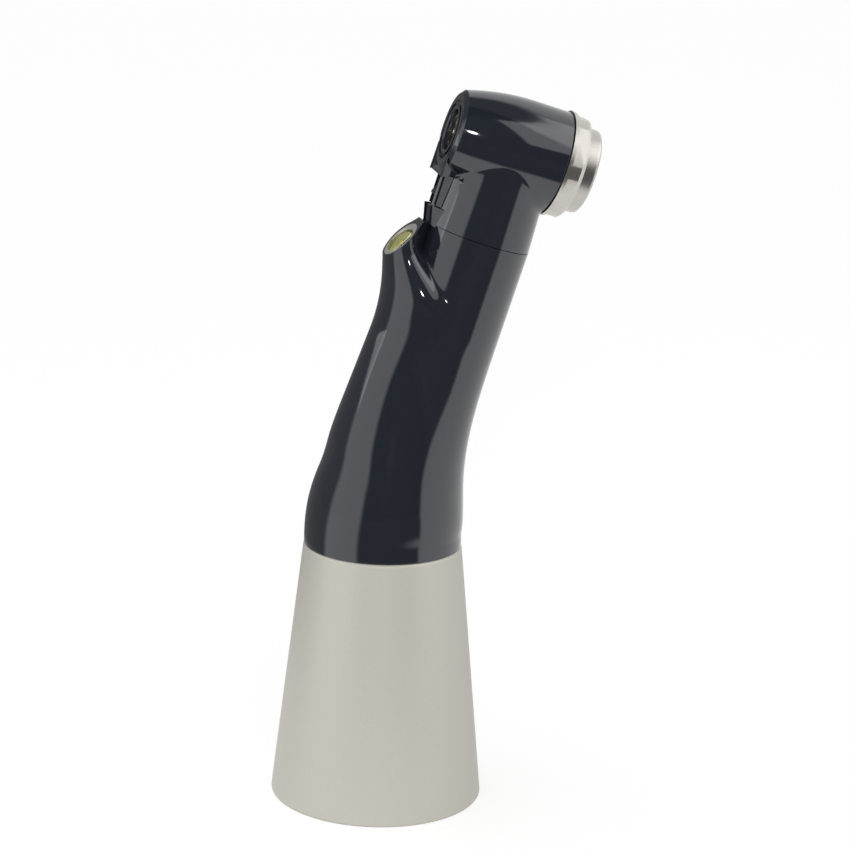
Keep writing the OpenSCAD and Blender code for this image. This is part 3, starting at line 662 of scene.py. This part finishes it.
bm = bmesh.new()
turned(
    bm,
    [
        (BEARING_SEAT, SKIRT_A), (SKIRT_R, SKIRT_A), (SKIRT_R, HEAD_BACK + FIT), (CAP_R, HEAD_BACK + FIT),
        (CAP_R, CAP_END - 0.4), (CAP_R - 0.35, CAP_END), (FLANGE_R + 0.05, CAP_END), (FLANGE_R + 0.05, WEB_HIGH),
        (WEB_HOLE, WEB_HIGH), (WEB_HOLE, WEB_LOW), (BEARING_SEAT, WEB_LOW),
    ],
    HEAD_MID, HEAD, 128,
)
cap = scratch(bm)
flats = bmesh.new()
for i in range(6):
    spin = Matrix.Rotation(math.radians(60 * i), 3, HEAD)
    cube = bmesh.ops.create_cube(flats, size=1)["verts"]
    for vert in cube:
        u, v, w = vert.co + Vector((0.5, 0.5, 0.5))
        local = -NECK * mix(CAP_R * CAP_FLAT, CAP_R + 3, u) + SIDE * mix(-4, 4, v)
        local += HEAD * mix(HEAD_BACK + 0.35, 9, w)
        vert.co = (HEAD_MID + spin @ local) * MM
carve(cap, ("DIFFERENCE", scratch(flats)))
cap.name = "cap_ring"
dress(cap, "housing", ["head_cap"], "cap_steel", 25)
edge = cap.modifiers.new("soft edges", "BEVEL")
edge.width, edge.segments, edge.limit_method, edge.angle_limit = 0.05 * MM, 2, "ANGLE", math.radians(25)

bm = bmesh.new()
turned(
    bm,
    soft(
        [
            (0, PUSHER_A), (PUSHER_R, PUSHER_A), (PUSHER_R, BUTTON_IN), (BUTTON_R - 0.7, BUTTON_IN),
            (BUTTON_R - 0.5, BUTTON_IN - 0.2), (BUTTON_R - 0.5, FLANGE_LOW), (FLANGE_R, FLANGE_LOW),
            (FLANGE_R, FLANGE_HIGH), (BUTTON_R, FLANGE_HIGH), (BUTTON_R, BUTTON_END, True), (0, BUTTON_END),
        ],
        0.35, 6,
    ),
    HEAD_MID, HEAD, 128,
)
keep("round_button", bm, "button", ["push_button"], "button_steel")

# Springs under the button and at the drive dog, each a coil that rides on its body


def spring(name, body, foot, axis, length, radius, wire, turns=3, steps=28, sides=12):
    """A coil that stands on its foot and rises along its axis to the given length."""
    out = SIDE.cross(axis)
    rings = []
    for i in range(turns * steps + 1):
        turn = 2 * math.pi * i / steps
        radial = out * math.cos(turn) + SIDE * math.sin(turn)
        rise = mix(wire / 2, length - wire / 2, i / (turns * steps))
        middle = foot + radial * radius + axis * rise
        around = [2 * math.pi * k / sides for k in range(sides)]
        rings.append([middle + (radial * math.cos(a) + axis * math.sin(a)) * wire / 2 for a in around])
    bm = bmesh.new()
    post(bm, rings)
    piece = keep(name + "_coil", bm, body, [name], "spring_steel", 40)
    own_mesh(piece)


foot = WEB_HIGH + FIT
spring(
    "button_spring", "housing",
    HEAD_MID + HEAD * foot, HEAD, length=BUTTON_IN - FIT - foot, radius=2.55, wire=0.3,
)
dog_low, dog_high = (corner.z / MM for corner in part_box("dog_spring"))
spring(
    "dog_spring", "drive_shaft", UP * dog_high, -UP, length=dog_high - dog_low, radius=1.45, wire=0.22
)

# Stage, light and camera


scene = bpy.context.scene
scene.view_settings.view_transform = "Standard"

# The room in gloss: bearings round the object, from the camera's side to the right, where its levels change
RIGHT_WALL, LEFT_WALL, NO_WALL = (0.8, 0.92), (-0.74, -0.6), 0.05
CORNER_START, CORNER_END, CORNER_LEVEL = (-3.1, -2.95), (-1.68, -1.5), 0.16
PANEL_LEFT, PANEL_RIGHT = (0.44, 0.5), (1.9, 2.1)
# and heights
PANEL_LOW, PANEL_HIGH = (0.3, 0.36), (0.83, 0.86)
OVERHEAD, OVERHEAD_LEVEL = (0.78, 0.9), 0.12
# Even light, by bearing
EVEN_TURN, EVEN_LEFT, EVEN_RIGHT = (0.2, 1.5), 0.86, 0.2
# Floor: its level to the camera, its paper, its paper in gloss, and how far its near part reaches, in metres
FLOOR_SEEN, PAPER, PAPER_GLOSS, NEAR_FLOOR = 0.77, 0.34, 0.03, (0.072, 0.092)


def ramp(tree, value, low, high, start, end):
    """A smooth step of a value, as a node output."""
    node = tree.nodes.new("ShaderNodeMapRange")
    node.interpolation_type = "SMOOTHSTEP"
    for name, number in (("From Min", low), ("From Max", high), ("To Min", start), ("To Max", end)):
        node.inputs[name].default_value = number
    tree.links.new(value, node.inputs["Value"])
    return node.outputs["Result"]


def sum_of(tree, operation, a, b):
    """Two values or node outputs joined by an operation, as a node output."""
    node = tree.nodes.new("ShaderNodeMath")
    node.operation = operation
    for socket, value in zip(node.inputs, (a, b)):
        if isinstance(value, (int, float)):
            socket.default_value = value
        else:
            tree.links.new(value, socket)
    return node.outputs["Value"]


def room(tree, place):
    """How bright the room is in gloss, by bearing: white walls, dark round the camera and at the back left."""
    turn = tree.nodes.new("ShaderNodeVectorRotate")
    turn.rotation_type = "Z_AXIS"
    turn.inputs["Angle"].default_value = math.radians(7.4)
    split = tree.nodes.new("ShaderNodeSeparateXYZ")
    tree.links.new(place, turn.inputs["Vector"])
    tree.links.new(turn.outputs["Vector"], split.inputs["Vector"])
    ahead = sum_of(tree, "MULTIPLY", split.outputs["Y"], -1)
    bearing = sum_of(tree, "ARCTAN2", split.outputs["X"], ahead)
    wall = sum_of(
        tree, "MAXIMUM", ramp(tree, bearing, *RIGHT_WALL, NO_WALL, 1.0), ramp(tree, bearing, *LEFT_WALL, 1.0, NO_WALL)
    )
    corner = sum_of(
        tree, "MAXIMUM",
        ramp(tree, bearing, *CORNER_END, CORNER_LEVEL, 1.0), ramp(tree, bearing, *CORNER_START, 1.0, CORNER_LEVEL),
    )
    return sum_of(tree, "MULTIPLY", wall, corner), bearing, split.outputs["Z"]


def pale_floor():
    """White to the camera, the room's own level in gloss, and pale paper that takes the shadow."""
    material = bpy.data.materials.new("pale floor")
    material.use_nodes = True
    tree = material.node_tree
    paper = tree.nodes["Principled BSDF"]
    paper.inputs["Roughness"].default_value = 0.9
    paper.inputs["Specular IOR Level"].default_value = 0
    path, place = tree.nodes.new("ShaderNodeLightPath"), tree.nodes.new("ShaderNodeNewGeometry")
    glossy = path.outputs["Is Glossy Ray"]
    far = tree.nodes.new("ShaderNodeVectorMath")
    far.operation = "LENGTH"
    tree.links.new(place.outputs["Position"], far.inputs["Vector"])
    wall = room(tree, place.outputs["Position"])[0]
    level = sum_of(tree, "MAXIMUM", wall, ramp(tree, far.outputs["Value"], *NEAR_FLOOR, 1.0, 0.0))
    seen = sum_of(tree, "MAXIMUM", path.outputs["Is Camera Ray"], path.outputs["Is Transmission Ray"])
    level = sum_of(tree, "MAXIMUM", sum_of(tree, "MULTIPLY", seen, FLOOR_SEEN), sum_of(tree, "MULTIPLY", glossy, level))
    paper.inputs["Emission Color"].default_value = (1, 1, 1, 1)
    tree.links.new(level, paper.inputs["Emission Strength"])
    tree.links.new(ramp(tree, glossy, 0, 1, PAPER, PAPER_GLOSS), paper.inputs["Base Color"])
    return material


def studio():
    """White behind the object; in gloss the room with a panel on the right; even light, weaker from the right."""
    world = bpy.data.worlds.new("studio")
    scene.world = world
    world.use_nodes = True
    tree = world.node_tree
    back = tree.nodes["Background"]
    path, place = tree.nodes.new("ShaderNodeLightPath"), tree.nodes.new("ShaderNodeTexCoord")
    wall, bearing, height = room(tree, place.outputs["Generated"])
    gloss = sum_of(tree, "MULTIPLY", wall, ramp(tree, height, *OVERHEAD, 1.0, OVERHEAD_LEVEL))
    side = sum_of(
        tree, "MULTIPLY", ramp(tree, bearing, *PANEL_LEFT, 0.0, 1.0), ramp(tree, bearing, *PANEL_RIGHT, 1.0, 0.0)
    )
    tall = sum_of(
        tree, "MULTIPLY", ramp(tree, height, *PANEL_LOW, 0.0, 1.0), ramp(tree, height, *PANEL_HIGH, 1.0, 0.0)
    )
    gloss = sum_of(tree, "ADD", gloss, sum_of(tree, "MULTIPLY", side, tall))
    level = ramp(tree, bearing, *EVEN_TURN, EVEN_LEFT, EVEN_RIGHT)
    even = sum_of(tree, "MULTIPLY", sum_of(tree, "SUBTRACT", 1, path.outputs["Is Glossy Ray"]), level)
    shown = sum_of(tree, "MULTIPLY", path.outputs["Is Glossy Ray"], gloss)
    seen = sum_of(tree, "MAXIMUM", path.outputs["Is Camera Ray"], path.outputs["Is Transmission Ray"])
    tree.links.new(sum_of(tree, "MAXIMUM", seen, sum_of(tree, "ADD", even, shown)), back.inputs["Strength"])
    back.inputs["Color"].default_value = (1, 1, 1, 1)


def lamp(name, spot, size, watts, tall=None):
    """An area lamp that faces the object: a disc, or a panel where it has a height."""
    data = bpy.data.lights.new(name, "AREA")
    data.shape, data.size, data.energy = "RECTANGLE" if tall else "DISK", size, watts
    if tall:
        data.size_y = tall
    obj = bpy.data.objects.new(name, data)
    obj.location = spot
    obj.visible_camera = False
    obj.rotation_euler = (Vector((0.004, 0, 0.05)) - Vector(spot)).to_track_quat("-Z", "Y").to_euler()
    scene.collection.objects.link(obj)
    return obj


bm = bmesh.new()
bmesh.ops.create_grid(bm, x_segments=1, y_segments=1, size=2)
bmesh.ops.translate(bm, verts=bm.verts, vec=(0, 0, -0.02 * MM))
mesh = bpy.data.meshes.new("floor")
bm.to_mesh(mesh)
bm.free()
floor = bpy.data.objects.new("floor", mesh)
scene.collection.objects.link(floor)
mesh.materials.append(pale_floor())

studio()
lamp("front lamp", (-0.113, -0.56, 0.241), 0.048, 0.3)
lamp("left strip", (-0.086, 0.034, 0.072), 0.064, 0.0063, tall=0.026)
lamp("soft front lamp", (0.02, -0.5, 0.2), 0.4, 0.6).visible_glossy = False

# Camera, level but for a slight roll
AZIMUTH, ELEVATION, ROLL = (math.radians(x) for x in (-9.9, 14.674, 1.663))
TARGET, DISTANCE, FOCUS_PX, PX_PER_MM, IMAGE = Vector((0, 0, 35)), 250.0, 2713.25, 10.853, 850
AIM_PX = (39.236, 7.147)
level_right = Vector((math.cos(AZIMUTH), math.sin(AZIMUTH), 0))
level_back = Vector((math.sin(AZIMUTH), -math.cos(AZIMUTH), 0))
toward = level_back * math.cos(ELEVATION) + UP * math.sin(ELEVATION)
level_up = toward.cross(level_right)
right = math.cos(ROLL) * level_right + math.sin(ROLL) * level_up
up = -math.sin(ROLL) * level_right + math.cos(ROLL) * level_up
eye = TARGET + DISTANCE * toward
aim = TARGET + right * (AIM_PX[0] / PX_PER_MM) + up * (AIM_PX[1] / PX_PER_MM)
ahead = (aim - eye).normalized()
right = ahead.cross(up).normalized()
up = right.cross(ahead)
data = bpy.data.cameras.new("camera")
data.lens, data.sensor_width = FOCUS_PX * 36 / IMAGE, 36
data.clip_start = 0.01
camera = bpy.data.objects.new("camera", data)
camera.matrix_world = Matrix.Translation(eye * MM) @ Matrix((right, up, -ahead)).transposed().to_4x4()
scene.collection.objects.link(camera)
scene.camera = camera
